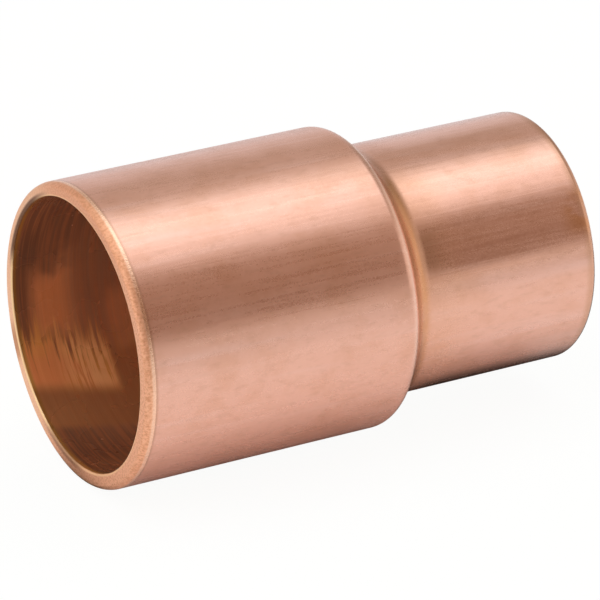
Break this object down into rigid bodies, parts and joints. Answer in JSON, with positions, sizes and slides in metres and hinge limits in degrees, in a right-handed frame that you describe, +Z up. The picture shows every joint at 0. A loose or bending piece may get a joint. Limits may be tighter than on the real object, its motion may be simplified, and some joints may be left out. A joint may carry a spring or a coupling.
{
  "type": "reducing coupling",
  "caption": "Seamless copper solder reducer: a straight spigot with a rounded nose, a rounded shoulder and a smaller cup with an inner tube stop.",
  "frame": {"origin": "centre of the spigot's open face, on the fitting's axis", "axes": "+X along the fitting's axis, from the spigot towards the cup; +Z up, with the fitting lying on its side"},
  "size_m": [0.0376, 0.0222, 0.0222],
  "materials": {
    "copper": "satin drawn copper, with a machined nose"
  },
  "bodies": {
    "root": {"reducer_body": "copper"}
  },
  "joints": []
}
